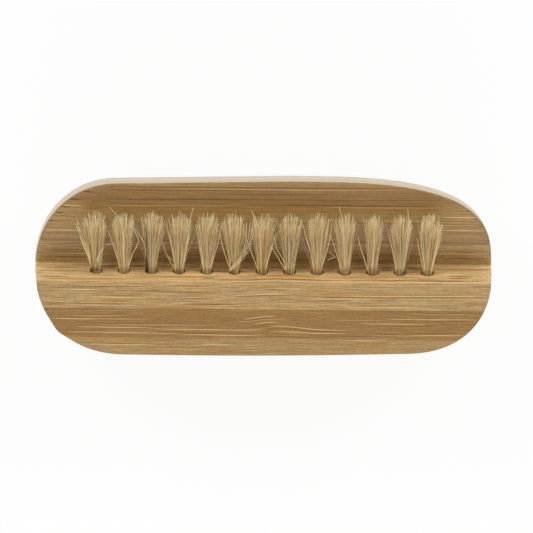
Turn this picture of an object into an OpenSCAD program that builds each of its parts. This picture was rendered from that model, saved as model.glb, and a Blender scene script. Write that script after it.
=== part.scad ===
// Two-sided nail brush: a laminated bamboo block, bristles below and one row of tufts in a groove on top.
// X runs along the block, Y across it, Z up. The brush stands on the tips of the lower bristles at Z = 0.

/* [Block] */
// Length of the block, end to end
block_length = 100; // [92:1:120]
// Width of the block, across the grain
block_width = 38; // [36:0.5:46]
// Thickness of one of the four bamboo layers
layer_thickness = 5; // [4.5:0.1:6]
// Width of one full bamboo strip within a layer
strip_width = 19; // [17:0.5:22]
// Length of the rounding at both left corners
left_corner_run = 19.6; // [12:0.2:26]
// Length of the rounding at the right front corner
right_front_corner_run = 27; // [12:0.5:32]
// Length of the rounding at the right rear corner, which begins far back along the side
right_rear_corner_run = 42; // [12:0.5:46]
// Radius that the top and bottom rims are eased to
rim_radius = 0.6; // [0.2:0.1:1.5]

/* [Groove] */
// Depth of the groove below the top of the block
groove_depth = 6.7; // [5.5:0.1:8]
// Place of the bottom of the groove, measured back from the block's middle
groove_y = 1; // [-2:0.2:3]
// Run of the steep wall, from its foot to the front edge of the groove
steep_run = 3.8; // [3:0.1:5]

/* [Groove tufts] */
// Spacing of the tufts along the groove
groove_pitch = 6.05; // [6:0.05:6.5]
// Shift of the row along the block, from its middle
groove_row_x = -0.35; // [-2:0.05:2]
// Height of the hole centres above the bottom of the groove
groove_hole_rise = 3.05; // [2.6:0.05:3.8]
// Depth of the holes in the steep wall
groove_hole_depth = 8; // [6.5:0.25:9]
// Free length of the tufts in the groove
groove_bristle_length = 15; // [10:0.5:17]
// Radius that a groove tuft spreads to at its tips
groove_splay = 2.45; // [1.5:0.05:2.5]
// Radius of one strand of a groove tuft at its root
groove_strand_radius = 0.15; // [0.08:0.01:0.15]
// Radius of one strand of a groove tuft at its tip, where its hairs have opened
groove_tip_radius = 0.24; // [0.08:0.01:0.3]

/* [Lower tufts] */
// Spacing of the tufts along a row, and the rows' stagger is half of it
base_pitch = 6.4; // [6:0.1:6.6]
// Spacing of the rows across the block
base_row_pitch = 6.4; // [6:0.1:7]
// Depth of the holes in the underside
base_hole_depth = 7; // [6:0.25:9]
// Free length of the bristles under the block
base_bristle_length = 14; // [10:0.5:20]
// Radius that a lower tuft spreads to at its tips
base_splay = 2; // [1.4:0.05:2.5]
// Radius of one strand of a lower tuft at its root
base_strand_radius = 0.32; // [0.16:0.02:0.32]
// Radius of one strand of a lower tuft at its tip
base_tip_radius = 0.55; // [0.16:0.01:0.6]

/* [Holes and anchors] */
// Diameter of every drilled hole
hole_diameter = 2.75; // [2.6:0.05:3]
// Gap between the packed root of a tuft and the wall of its hole
root_clearance = 0.08; // [0.02:0.02:0.2]
// Thickness of the flat wire that the anchors are cut from
anchor_thickness = 0.35; // [0.2:0.05:0.5]
// Width of that wire, along the hole
anchor_width = 1.3; // [0.8:0.1:1.8]
// Gap round an anchor, in the tuft and at its ends
anchor_clearance = 0.05; // [0.02:0.01:0.1]

/* [Hidden] */
// Tufts in the groove: as many as the length has room for, with this much left free at each end
groove_end_margin = 13;
groove_tufts = floor((block_length - 2 * groove_end_margin) / groove_pitch) + 1;
base_rows = 5;

// Colours of the pieces
pale_bamboo = "#b9996b";
toasted_bamboo = "#a5865a";
shaded_bamboo = "#a08258";
bristle_blond = "#dccaa4";
anchor_grey = "#b9b6ae";

// One overrun serves every cut
overrun = 1;
// Fineness of true circles
$fn = 48;

// Squareness of the corner curves: 2 is a plain ellipse, and more is squarer. The longer a corner's run is,
// the squarer its curve, and the two right corners have the longest runs
corner_square_share = 2.24;
right_front_square_share = 2.7;
right_rear_square_share = 3.2;
corner_steps = 16;

// The block's layers, counted from 0 at the underside
layer_count = 4;
base_layer = 0;
lower_core_layer = 1;
upper_core_layer = 2;
top_layer = 3;
block_bottom = base_bristle_length;
block_top = block_bottom + layer_count * layer_thickness;
// Place of the middle strip of each layer, set off so that no two glue lines lie in line. The lower
// core's is set off furthest, by a share of the width, so that its narrow front strip follows the block
base_shift = 0;
lower_core_shift_share = -0.1658;
lower_core_shift = lower_core_shift_share * block_width;
upper_core_shift = -2.7;
top_shift = 0.6;

// The groove: a steep wall in front, and a shallow wall that runs up to the rear edge of the block
groove_bottom = block_top - groove_depth;
shallow_run = block_width / 2 - groove_y;
wall_angle = atan(groove_depth / steep_run);

// The holes in the steep wall, square to it
mouth_y = groove_y - groove_hole_rise * steep_run / groove_depth;
mouth_z = groove_bottom + groove_hole_rise;
hole_radius = hole_diameter / 2;
groove_hole_floor = mouth_z - groove_hole_depth * cos(wall_angle) - hole_radius * sin(wall_angle);

// The folded root of a tuft, and its narrow neck, which leaves the mouth of a groove hole partly open
root_radius = hole_radius - root_clearance;
root_sides = 6;
neck_radius = 1.1;
neck_length = 4;
// How far below the mouth of its hole a root ends, how deep the strands start in it, and where its anchor is
root_recess = 0.6;
strand_rooting = 1;
anchor_seat = 0.6;

// Tufts in the groove: strands in each, their spread at the root, and how uneven their tips are
groove_strands = 16;
groove_root_spread = 0.8;
groove_tip_unevenness = 0.9;
// How far the tip of each tuft leans along the row, left to right, as shares of its splay, then over again
groove_lean_share = [-0.3, -0.2, 0, 0.08, -0.04, -0.26, -0.04, -0.04, -0.08, -0.12, 0.04, 0.04, 0];

// Tufts under the block: the first row has as many as the length has room for, with this much left free
// at each end, every second row is one tuft longer, and the tips are trimmed flat by trim_depth
base_end_margin = 11;
base_short_row = floor((block_length - 2 * base_end_margin) / base_pitch) + 1;
base_strands = 4;
base_root_spread = 0.85;
trim_depth = 0.5;

// Strands: their sides, and how far along and how far spread their bend is
strand_sides = 3;
half_way_share = 0.5;
half_splay_share = 0.3;
// Turn from one strand to the next, which spreads them evenly over a disc
golden_turn = 137.508;

function reversed(list) = [for (i = [len(list) - 1:-1:0]) list[i]];
function without_first(list) = [for (i = [1:len(list) - 1]) list[i]];

// One corner of the block's outline, from the block's end to its side, drawn in by inset
function corner(right, rear, run, square, inset) = [
    for (i = [0:corner_steps])
        let (a = 90 * i / corner_steps)
            [
                right * (block_length / 2 - run + (run - inset) * pow(cos(a), 2 / square)),
                rear * (block_width / 2 - inset) * pow(sin(a), 2 / square)
            ]
];

// Outline of the block seen from above, anticlockwise from its right end
module block_outline(inset = 0) {
    right_rear = corner(1, 1, right_rear_corner_run, right_rear_square_share, inset);
    left_rear = corner(-1, 1, left_corner_run, corner_square_share, inset);
    left_front = corner(-1, -1, left_corner_run, corner_square_share, inset);
    right_front = corner(1, -1, right_front_corner_run, right_front_square_share, inset);
    polygon(concat(
        right_rear,
        reversed(left_rear),
        without_first(left_front),
        reversed(without_first(right_front))
    ));
}

// A layer with its upper rim eased: two steps of inset stand for the rounding
module eased_layer() {
    first_step = rim_radius * (1 - cos(45));
    hull() {
        linear_extrude(layer_thickness - rim_radius) block_outline();
        linear_extrude(layer_thickness - first_step) block_outline(first_step);
        linear_extrude(layer_thickness) block_outline(rim_radius);
    }
}

// One whole layer of the block, with the outer rims of the top and base layers eased
module layer(number) {
    translate([0, 0, block_bottom + number * layer_thickness]) {
        if (number == base_layer)
            translate([0, 0, layer_thickness]) mirror([0, 0, 1]) eased_layer();
        else if (number == top_layer)
            eased_layer();
        else
            linear_extrude(layer_thickness) block_outline();
    }
}

// The space between two planes across the block, over its whole length and height
module slice(front, rear) {
    translate([-block_length / 2 - overrun, front, block_bottom - overrun])
        cube([block_length + 2 * overrun, rear - front, block_top - block_bottom + 2 * overrun]);
}

// One strip of a layer, with the groove and the holes that reach it cut out
module strip(number, front, rear) {
    above_groove_floor = block_bottom + (number + 1) * layer_thickness > groove_hole_floor;
    below_base_floor = number * layer_thickness < base_hole_depth;
    difference() {
        intersection() {
            layer(number);
            slice(front, rear);
        }
        if (above_groove_floor) {
            groove_cut();
            for (i = [0:groove_tufts - 1])
                at_groove_hole(i) hole(groove_hole_depth);
        }
        if (below_base_floor)
            for (row = [0:base_rows - 1])
                for (i = [0:row_tufts(row) - 1])
                    at_base_hole(row, i) hole(base_hole_depth);
    }
}

// The three strips of a layer: shift is the place of the middle one
module front_strip(number, shift) {
    strip(number, -block_width / 2 - overrun, shift - strip_width / 2);
}
module middle_strip(number, shift) {
    strip(number, shift - strip_width / 2, shift + strip_width / 2);
}
module rear_strip(number, shift) {
    strip(number, shift + strip_width / 2, block_width / 2 + overrun);
}

// The groove as a solid to cut away, open above the block and at both ends
module groove_cut() {
    reach = (groove_depth + overrun) / groove_depth;
    rotate([90, 0, 90])
        linear_extrude(block_length + 2 * overrun, center = true)
            polygon([
                [groove_y, groove_bottom],
                [groove_y + reach * shallow_run, block_top + overrun],
                [groove_y - reach * steep_run, block_top + overrun]
            ]);
}

// A drilled hole with its mouth at the origin, going down
module hole(depth) {
    translate([0, 0, -depth]) cylinder(h = depth + overrun, r = hole_radius);
}

// Puts a child at the mouth of a hole in the groove, with its Z square to the steep wall
module at_groove_hole(i) {
    x = groove_row_x + (i - (groove_tufts - 1) / 2) * groove_pitch;
    translate([x, mouth_y, mouth_z]) rotate([-wall_angle, 0, 0]) children();
}

// Puts a child at the mouth of a hole in the underside, with its Z pointing down to the tips
function row_tufts(row) = base_short_row + row % 2;
module at_base_hole(row, i) {
    x = (i - (row_tufts(row) - 1) / 2) * base_pitch;
    y = (row - (base_rows - 1) / 2) * base_row_pitch;
    translate([x, y, block_bottom]) rotate([180, 0, 0]) children();
}

// Strips of the top layer; the groove cuts its middle strip in two, and the rear part is a thin feather
module top_front_strip() {
    color(toasted_bamboo) front_strip(top_layer, top_shift);
}
module top_middle_strip() {
    color(pale_bamboo) strip(top_layer, top_shift - strip_width / 2, groove_y);
}
module top_feather_strip() {
    color(shaded_bamboo) strip(top_layer, groove_y, top_shift + strip_width / 2);
}
module top_rear_strip() {
    color(toasted_bamboo) rear_strip(top_layer, top_shift);
}

// Strips of the upper core, which holds the bottom of the groove
module upper_core_front_strip() {
    color(toasted_bamboo) front_strip(upper_core_layer, upper_core_shift);
}
module upper_core_middle_strip() {
    color(pale_bamboo) middle_strip(upper_core_layer, upper_core_shift);
}
module upper_core_rear_strip() {
    color(toasted_bamboo) rear_strip(upper_core_layer, upper_core_shift);
}

// Strips of the lower core, which the holes of the underside reach into
module lower_core_front_strip() {
    color(pale_bamboo) front_strip(lower_core_layer, lower_core_shift);
}
module lower_core_middle_strip() {
    color(toasted_bamboo) middle_strip(lower_core_layer, lower_core_shift);
}
module lower_core_rear_strip() {
    color(pale_bamboo) rear_strip(lower_core_layer, lower_core_shift);
}

// Strips of the base layer, drilled right through for the lower tufts
module base_front_strip() {
    color(toasted_bamboo) front_strip(base_layer, base_shift);
}
module base_middle_strip() {
    color(pale_bamboo) middle_strip(base_layer, base_shift);
}
module base_rear_strip() {
    color(toasted_bamboo) rear_strip(base_layer, base_shift);
}

// Place of a strand on a disc of radius 1
function on_disc(k, count) =
    sqrt((k + 0.5) / count) * [cos(k * golden_turn), sin(k * golden_turn), 0];

// One bristle strand: a closed tube of triangles with a ring round each place in path
module strand(path, radii, turn) {
    points = [
        for (i = [0:len(path) - 1])
            for (k = [0:strand_sides - 1])
                let (a = turn + 360 * k / strand_sides)
                    path[i] + radii[i] * [cos(a), sin(a), 0]
    ];
    sides = [
        for (i = [0:len(path) - 2])
            for (k = [0:strand_sides - 1])
                let (
                    low = i * strand_sides,
                    high = low + strand_sides,
                    next = (k + 1) % strand_sides
                )
                    each [[low + k, high + k, high + next], [low + k, high + next, low + next]]
    ];
    first = [for (k = [0:strand_sides - 1]) k];
    last = [for (k = [strand_sides - 1:-1:0]) len(points) - strand_sides + k];
    polyhedron(points, concat([first], sides, [last]));
}

// The root of a tuft, folded round its anchor and packed in its hole: neck is its narrow upper part
module root(depth, neck) {
    difference() {
        translate([0, 0, -depth]) {
            cylinder(h = depth - root_recess - neck, r = root_radius, $fn = root_sides);
            if (neck > 0)
                cylinder(h = depth - root_recess, r = neck_radius, $fn = root_sides);
        }
        at_anchor(depth)
            cube([
                hole_diameter + overrun,
                anchor_thickness + 2 * anchor_clearance,
                anchor_width + 2 * anchor_clearance
            ], center = true);
    }
}

// Puts a child at the middle of the anchor in a hole
module at_anchor(depth) {
    translate([0, 0, -depth + anchor_seat + anchor_width / 2]) children();
}

// One flat anchor, as long as the hole is wide
module anchor(depth) {
    color(anchor_grey)
        at_anchor(depth)
            cube([hole_diameter - 2 * anchor_clearance, anchor_thickness, anchor_width], center = true);
}

// A tuft in the groove, whose strands leave the neck side by side and spread to uneven tips
function groove_lean(i) = groove_lean_share[i % len(groove_lean_share)] * groove_splay;
module groove_tuft(i) {
    color(bristle_blond)
        at_groove_hole(i) {
            root(groove_hole_depth, neck_length);
            for (k = [0:groove_strands - 1])
                groove_strand(k, [groove_lean(i), 0, 0]);
        }
}
module groove_strand(k, lean) {
    place = on_disc(k, groove_strands);
    tip = groove_bristle_length - groove_tip_unevenness * pow(sin(k * golden_turn), 2);
    half_spread = groove_root_spread + half_splay_share * (groove_splay - groove_root_spread);
    strand(
        [
            groove_root_spread * place - [0, 0, root_recess + strand_rooting],
            half_spread * place + half_splay_share * lean + [0, 0, half_way_share * tip],
            groove_splay * place + lean + [0, 0, tip]
        ],
        [groove_strand_radius, (groove_strand_radius + groove_tip_radius) / 2, groove_tip_radius],
        k * golden_turn
    );
}

// One row of tufts under the block, cut flat at the tips
module base_tuft_row(row) {
    color(bristle_blond)
        difference() {
            for (i = [0:row_tufts(row) - 1])
                at_base_hole(row, i) {
                    root(base_hole_depth, 0);
                    for (k = [0:base_strands - 1])
                        base_strand(k);
                }
            translate([-block_length / 2, -block_width / 2, -trim_depth - overrun])
                cube([block_length, block_width, trim_depth + overrun]);
        }
}
module base_strand(k) {
    place = on_disc(k, base_strands);
    strand(
        [
            base_root_spread * place - [0, 0, root_recess + strand_rooting],
            base_splay * place + [0, 0, base_bristle_length + trim_depth]
        ],
        [base_strand_radius, base_tip_radius],
        k * golden_turn
    );
}

// The anchors of the groove, and those of one row of the underside
module groove_anchors() {
    for (i = [0:groove_tufts - 1])
        at_groove_hole(i) anchor(groove_hole_depth);
}
module base_anchor_row(row) {
    for (i = [0:row_tufts(row) - 1])
        at_base_hole(row, i) anchor(base_hole_depth);
}

top_front_strip();
top_middle_strip();
top_feather_strip();
top_rear_strip();
upper_core_front_strip();
upper_core_middle_strip();
upper_core_rear_strip();
lower_core_front_strip();
lower_core_middle_strip();
lower_core_rear_strip();
base_front_strip();
base_middle_strip();
base_rear_strip();
for (i = [0:groove_tufts - 1])
    groove_tuft(i);
for (row = [0:base_rows - 1])
    base_tuft_row(row);
groove_anchors();
for (row = [0:base_rows - 1])
    base_anchor_row(row);
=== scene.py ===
import math
import random
from contextlib import contextmanager

import bpy
import numpy as np
from mathutils import Matrix, Vector


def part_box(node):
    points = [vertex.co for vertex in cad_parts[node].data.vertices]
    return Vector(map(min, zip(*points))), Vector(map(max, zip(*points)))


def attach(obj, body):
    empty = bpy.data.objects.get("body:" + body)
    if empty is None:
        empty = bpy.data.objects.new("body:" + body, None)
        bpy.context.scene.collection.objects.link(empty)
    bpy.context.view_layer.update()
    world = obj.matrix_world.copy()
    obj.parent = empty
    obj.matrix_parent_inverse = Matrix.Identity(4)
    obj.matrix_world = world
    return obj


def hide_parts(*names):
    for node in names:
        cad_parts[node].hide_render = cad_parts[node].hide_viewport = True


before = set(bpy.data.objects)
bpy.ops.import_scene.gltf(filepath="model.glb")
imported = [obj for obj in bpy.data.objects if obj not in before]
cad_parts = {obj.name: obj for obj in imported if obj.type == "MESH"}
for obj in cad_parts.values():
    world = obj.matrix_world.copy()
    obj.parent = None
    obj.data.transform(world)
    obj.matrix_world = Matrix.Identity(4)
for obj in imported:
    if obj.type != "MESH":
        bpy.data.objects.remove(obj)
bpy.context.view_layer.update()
scene = bpy.context.scene
MM = 0.001

# The picture is taken from three metres with a long lens, almost straight down on the back of the brush.
# It sees a little of the rear and left sides, and the brush lies turned by half a degree.
CAMERA_DISTANCE = 3.0
VIEW_WIDTH = 116.6 * MM
SENSOR_WIDTH = 36.0
VIEW_TO_REAR = 4.2
VIEW_TO_LEFT = 1.0
VIEW_ROLL = 0.55
AIM = Vector((0.58, 0.63, 34.0)) * MM
NEAREST, FARTHEST = 0.1, 20.0

to_left, to_rear = math.radians(VIEW_TO_LEFT), math.radians(VIEW_TO_REAR)
towards_camera = Vector((-math.sin(to_left), math.sin(to_rear), 1)).normalized()
level = Vector((0, 1, 0)).cross(towards_camera).normalized()
upward = towards_camera.cross(level)
turn = Matrix.Rotation(math.radians(VIEW_ROLL), 3, towards_camera)
camera_data = bpy.data.cameras.new("camera")
camera_data.sensor_width = SENSOR_WIDTH
camera_data.lens = SENSOR_WIDTH * CAMERA_DISTANCE / VIEW_WIDTH
camera_data.clip_start, camera_data.clip_end = NEAREST, FARTHEST
camera = bpy.data.objects.new("camera", camera_data)
scene.collection.objects.link(camera)
axes = Matrix((turn @ level, turn @ upward, towards_camera)).transposed()
camera.matrix_world = Matrix.Translation(AIM + CAMERA_DISTANCE * towards_camera) @ axes.to_4x4()
scene.camera = camera
scene.view_settings.view_transform = "Standard"


# Three soft lamps stand around the brush, half way up. The two behind it light the steep wall of the groove.
# The wide one in front lights the tufts, while the front edge of the groove keeps its light off the bottom of
# the groove. The room, which shows as white, gives the rest. A lamp has a width, a height, watts and a place.
LAMPS = {
    "left_lamp": (0.5, 0.5, 6.0, (-0.72, 0.62, 0.8)),
    "right_lamp": (0.5, 0.5, 6.0, (0.72, 0.62, 0.8)),
    "front_lamp": (1.7, 0.35, 7.9, (0, -1.01, 0.74)),
}
ROOM_LIGHT = 0.3
WHITE = (1, 1, 1, 1)
for name, (width, height, power, place) in LAMPS.items():
    lamp = bpy.data.lights.new(name, "AREA")
    lamp.shape = "RECTANGLE"
    lamp.size, lamp.size_y = width, height
    lamp.energy = power
    holder = bpy.data.objects.new(name, lamp)
    scene.collection.objects.link(holder)
    holder.location = place
    holder.rotation_euler = (-Vector(place)).to_track_quat("-Z", "Y").to_euler()


def add_node(tree, kind, inputs=(), stops=(), **settings):
    """Adds a node with its settings and its inputs. Inputs come by name or in a row, and are values, or nodes
    and sockets to link. stops are the places and colours of a colour ramp."""
    made = tree.nodes.new(kind if kind.startswith("Node") else "ShaderNode" + kind)
    for setting, value in settings.items():
        setattr(made, setting, value)
    for socket, value in inputs.items() if isinstance(inputs, dict) else enumerate(inputs):
        if isinstance(value, bpy.types.Node):
            value = next(output for output in value.outputs if output.enabled)
        if isinstance(value, bpy.types.NodeSocket):
            tree.links.new(value, made.inputs[socket])
        else:
            made.inputs[socket].default_value = value
    for i, (place, colour) in enumerate(stops):
        elements = made.color_ramp.elements
        element = elements[i] if i < 2 else elements.new(place)
        element.position = place
        element.color = linear(colour)
    return made


def linear(colour):
    """The linear colour of an sRGB hex value."""
    parts = [int(colour[i:i + 2], 16) / 255 for i in (1, 3, 5)]
    return (*(c / 12.92 if c <= 0.04045 else ((c + 0.055) / 1.055) ** 2.4 for c in parts), 1)


def seen_directly(tree):
    """1 for what the camera sees, also in a mirror or through glass, and 0 for light that falls on things."""
    ray = add_node(tree, "LightPath").outputs
    seen = ray["Is Camera Ray"]
    for way in ("Is Glossy Ray", "Is Transmission Ray"):
        seen = add_node(tree, "Math", (seen, ray[way]), operation="MAXIMUM")
    return seen


world = bpy.data.worlds.new("room")
scene.world = world
world.use_nodes = True
room = world.node_tree
room.nodes.clear()
lit = add_node(room, "Background", {"Color": WHITE, "Strength": ROOM_LIGHT})
shown = add_node(room, "Background", {"Color": WHITE, "Strength": 1.0})
either = add_node(room, "MixShader", (seen_directly(room), lit, shown))
add_node(room, "OutputWorld", {"Surface": either})

# The floor is a white sheet of paper that the brush stands on. What the camera sees of it is mostly white
# by itself, and the rest is lit, so that the shadow of the brush stays on it. From below it is clear, so that
# the underside of the brush can be looked at.
FLOOR_SIZE = 12.0
FLOOR_GLOW = 0.92
PAPER_WHITE = (0.92, 0.92, 0.92, 1)


def new_finish(name):
    """A new material, and its node tree without nodes."""
    material = bpy.data.materials.new(name)
    material.use_nodes = True
    material.node_tree.nodes.clear()
    return material, material.node_tree


bpy.ops.mesh.primitive_plane_add(size=FLOOR_SIZE, location=(0, 0, 0))
floor = bpy.context.object
floor.name = "floor"
paper, tree = new_finish("white_paper")
lit = add_node(tree, "BsdfDiffuse", {"Color": PAPER_WHITE})
glow = add_node(tree, "Emission", {"Color": WHITE, "Strength": 1.0})
share = add_node(tree, "Math", (seen_directly(tree), FLOOR_GLOW), operation="MULTIPLY")
either = add_node(tree, "MixShader", (share, lit, glow))
below = add_node(tree, "NewGeometry").outputs["Backfacing"]
clear = add_node(tree, "BsdfTransparent")
either = add_node(tree, "MixShader", (below, either, clear))
add_node(tree, "OutputMaterial", {"Surface": either})
floor.data.materials.append(paper)

# The block is glued up from four layers of bamboo strips, sawn to its outline, grooved along its whole
# length and sanded by hand, all as one piece. Each strip is sawn out of this one block further down.
BLOCK_LOW, BLOCK_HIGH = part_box("base_middle_strip")[0].z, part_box("top_front_strip")[1].z
HALF_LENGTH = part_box("base_middle_strip")[1].x
HALF_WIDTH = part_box("base_rear_strip")[1].y
# Each corner, from the right rear one round to the right front one: its side and end, the length of its curve
# and how square that is, how much wider or narrower than the rest hand sanding left the block there, and how
# high a blunt kink it left in the curve
CORNERS = (
    (1, 1, 44.0 * MM, 3.1, 0.3 * MM, 0),
    (-1, 1, 18.0 * MM, 2.05, -0.45 * MM, 0),
    (-1, -1, 20.0 * MM, 2.2, 0, 0.35 * MM),
    (1, -1, 20.0 * MM, 2.35, -0.6 * MM, 0),
)
# Where along the corner's curve a kink is, and how far it spreads, in radians
KINK_ANGLE, KINK_SPREAD = 0.78, 0.1
FRONT_BELLY = 0.3 * MM
CORNER_STEPS = 36
SIDE_STEPS = 12
GROOVE_Y = 1.0 * MM
GROOVE_DEPTH = 6.7 * MM
STEEP_RUN = 3.8 * MM
# The shallow wall comes out just below the rear rim
REAR_RIM_DROP = 0.15 * MM
EASING = 0.65 * MM
EASING_STEPS = 4
# A face whose normal rises less than the first is a side wall. If it rises more, and points to the front or
# the rear by more than the second, the face is a wall of the groove
UPRIGHT_LEAN, WALL_LEAN = 0.3, 0.2
# Points that are closer than this are one point
WELD = 0.001 * MM
GROOVE_BOTTOM = BLOCK_HIGH - GROOVE_DEPTH
GROOVE_FRONT = GROOVE_Y - STEEP_RUN
SHALLOW_RUN, SHALLOW_RISE = HALF_WIDTH - GROOVE_Y, GROOVE_DEPTH - REAR_RIM_DROP


def only(piece):
    """Selects one piece and nothing else."""
    bpy.ops.object.select_all(action="DESELECT")
    piece.select_set(True)
    bpy.context.view_layer.objects.active = piece


@contextmanager
def editing(piece, action="SELECT"):
    """Opens the mesh of one piece, with all of it selected or, for DESELECT, nothing, and closes it again."""
    only(piece)
    bpy.ops.object.mode_set(mode="EDIT")
    bpy.ops.mesh.select_all(action=action)
    yield
    bpy.ops.object.mode_set(mode="OBJECT")


def clean(piece):
    """Merges the doubles of a piece and turns its faces outwards."""
    with editing(piece):
        bpy.ops.mesh.remove_doubles(threshold=WELD)
        bpy.ops.mesh.normals_make_consistent(inside=False)


def corner_points(side, rear, run, square, widening, kink):
    """Points of one corner from the end of the block to its side, clear of the front edge of the groove."""
    points = []
    for i in range(CORNER_STEPS + 1):
        angle = math.pi / 2 * i / CORNER_STEPS
        cos, sin = max(math.cos(angle), 0), math.sin(angle)
        out = kink * math.exp(-(((angle - KINK_ANGLE) / KINK_SPREAD) ** 2))
        x = side * (HALF_LENGTH - run + run * cos ** (2 / square) + out * cos)
        y = rear * ((HALF_WIDTH + widening) * sin ** (2 / square) + out * sin)
        if abs(y - GROOVE_FRONT) > 2 * EASING:
            points.append((x, y))
    return points


def side_points(start, end, belly):
    """Points of a long side between two corners, without the corners' own. The side swells by belly."""
    points = []
    for i in range(1, SIDE_STEPS):
        share = i / SIDE_STEPS
        x, y = start[0] + (end[0] - start[0]) * share, start[1] + (end[1] - start[1]) * share
        points.append((x, y + math.copysign(belly, y) * math.sin(math.pi * share)))
    return points


def cut_away(piece, cutter):
    """Cuts the shape of the cutter out of the piece and throws the cutter away."""
    only(piece)
    cut = piece.modifiers.new("cut", "BOOLEAN")
    cut.operation = "DIFFERENCE"
    cut.solver = "EXACT"
    cut.object = cutter
    bpy.ops.object.modifier_apply(modifier="cut")
    bpy.data.objects.remove(cutter)


right_rear, left_rear, left_front, right_front = (corner_points(*corner) for corner in CORNERS)
outline = right_rear + side_points(right_rear[-1], left_rear[-1], 0) + left_rear[::-1]
outline += left_front[1:] + side_points(left_front[-1], right_front[-1], FRONT_BELLY) + right_front[:0:-1]
bpy.ops.mesh.primitive_circle_add(vertices=len(outline), radius=HALF_WIDTH, fill_type="NGON")
block = bpy.context.object
block.name = "block"
for vertex, (x, y) in zip(block.data.vertices, outline):
    vertex.co = (x, y, BLOCK_LOW)
with editing(block):
    bpy.ops.mesh.extrude_region_move(TRANSFORM_OT_translate={"value": (0, 0, BLOCK_HIGH - BLOCK_LOW)})
clean(block)

# the groove cutter is a long prism with its edge down, which reaches this many times as far as the wood
REACH = 1.5
bpy.ops.mesh.primitive_cube_add(size=1, location=(0, 0, 0))
cutter = bpy.context.object
for vertex in cutter.data.vertices:
    x = math.copysign(REACH * HALF_LENGTH, vertex.co.x)
    if vertex.co.z < 0:
        vertex.co = (x, GROOVE_Y, GROOVE_BOTTOM)
    elif vertex.co.y > 0:
        vertex.co = (x, GROOVE_Y + REACH * SHALLOW_RUN, GROOVE_BOTTOM + REACH * SHALLOW_RISE)
    else:
        vertex.co = (x, GROOVE_Y - REACH * STEEP_RUN, GROOVE_BOTTOM + REACH * GROOVE_DEPTH)
clean(cutter)
cut_away(block, cutter)

# sanding eases the rims, the ends of the groove and its front edge
with editing(block, "DESELECT"):
    bpy.ops.mesh.select_mode(type="EDGE")
normals = [face.normal for face in block.data.polygons]
upright = [abs(normal.z) < UPRIGHT_LEAN for normal in normals]
steep = [normal.y > WALL_LEAN and normal.z > UPRIGHT_LEAN for normal in normals]
shallow = [normal.y < -WALL_LEAN and normal.z > UPRIGHT_LEAN for normal in normals]
beside = {}
for face in block.data.polygons:
    for key in face.edge_keys:
        beside.setdefault(key, []).append(face.index)
for edge in block.data.edges:
    near = beside[edge.key]
    rim = len(near) == 2 and upright[near[0]] != upright[near[1]]
    groove_bottom = any(steep[i] for i in near) and any(shallow[i] for i in near)
    groove_edge = any(steep[i] for i in near) and not all(steep[i] for i in near) and not groove_bottom
    edge.select = rim or groove_edge
bpy.ops.object.mode_set(mode="EDIT")
bpy.ops.mesh.bevel(offset=EASING, segments=EASING_STEPS, affect="EDGES", clamp_overlap=False)
bpy.ops.object.mode_set(mode="OBJECT")

# The cutter of the groove tore a few fibres out of the rims where it left the wood. Each chip is a thin
# wedge: its tip's x and y, its length to the left or right, its half width and how far it lies below the wall
CHIP_SIDES = 5
CHIPS = (
    (-35.8, 16.6, -5.5, 0.45, 0.1),
    (-39.3, 14.9, -4.5, 0.42, 0.1),
    (-41.5, 13.2, -4.2, 0.38, 0.1),
    (-42.6, 11.9, -4.0, 0.34, 0.1),
    (-44.6, 10.1, -3.4, 0.30, 0.1),
    (43.4, 13.0, 4.0, 0.30, 0.1),
    (44.6, 11.2, 4.2, 0.34, 0.1),
    (45.8, 9.6, 3.6, 0.30, 0.1),
    (48.4, 0.5, 3.2, 0.55, 0.1),
    (48.9, -0.6, 2.4, 0.40, -1.2),
)
for x, y, length, half, drop in CHIPS:
    wall_z = GROOVE_BOTTOM + (y * MM - GROOVE_Y) * SHALLOW_RISE / SHALLOW_RUN
    bpy.ops.mesh.primitive_cone_add(
        vertices=CHIP_SIDES, radius1=half * MM, radius2=0, depth=abs(length) * MM,
        rotation=(0, math.copysign(math.pi / 2, -length), 0),
        location=((x + length / 2) * MM, y * MM, wall_z - drop * MM),
    )
    chip = bpy.context.object
    bpy.ops.object.transform_apply()
    cut_away(block, chip)

# The base layer lies under the other three. Its strips are bamboo, sawn from the wall of the culm, so that
# the fibres run along the block and end as dots at its ends. The 67 holes for the lower tufts go right
# through it.
HOLE_RADIUS = 1.375 * MM
HOLE_CHAMFER = 0.07 * MM
HOLE_SIDES = 24
LOWER_HOLE_DEPTH = 7.0 * MM
LOWER_PITCH = 6.4 * MM
LOWER_ROW_PITCH = 6.4 * MM
LOWER_ROWS = (13, 14, 13, 14, 13)
# Points this near to the plane of the saw are in it, and edges sharper than this angle stay sharp
SAW_THRESHOLD = 0.0001 * MM
SMOOTH_ANGLE = math.radians(35)


def lower_holes(row):
    """Where the holes of one row in the underside are. Rows count from the front."""
    count = LOWER_ROWS[row]
    y = (row - (len(LOWER_ROWS) - 1) / 2) * LOWER_ROW_PITCH
    return [Matrix.Translation(((i - (count - 1) / 2) * LOWER_PITCH, y, BLOCK_LOW)) for i in range(count)]


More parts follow.
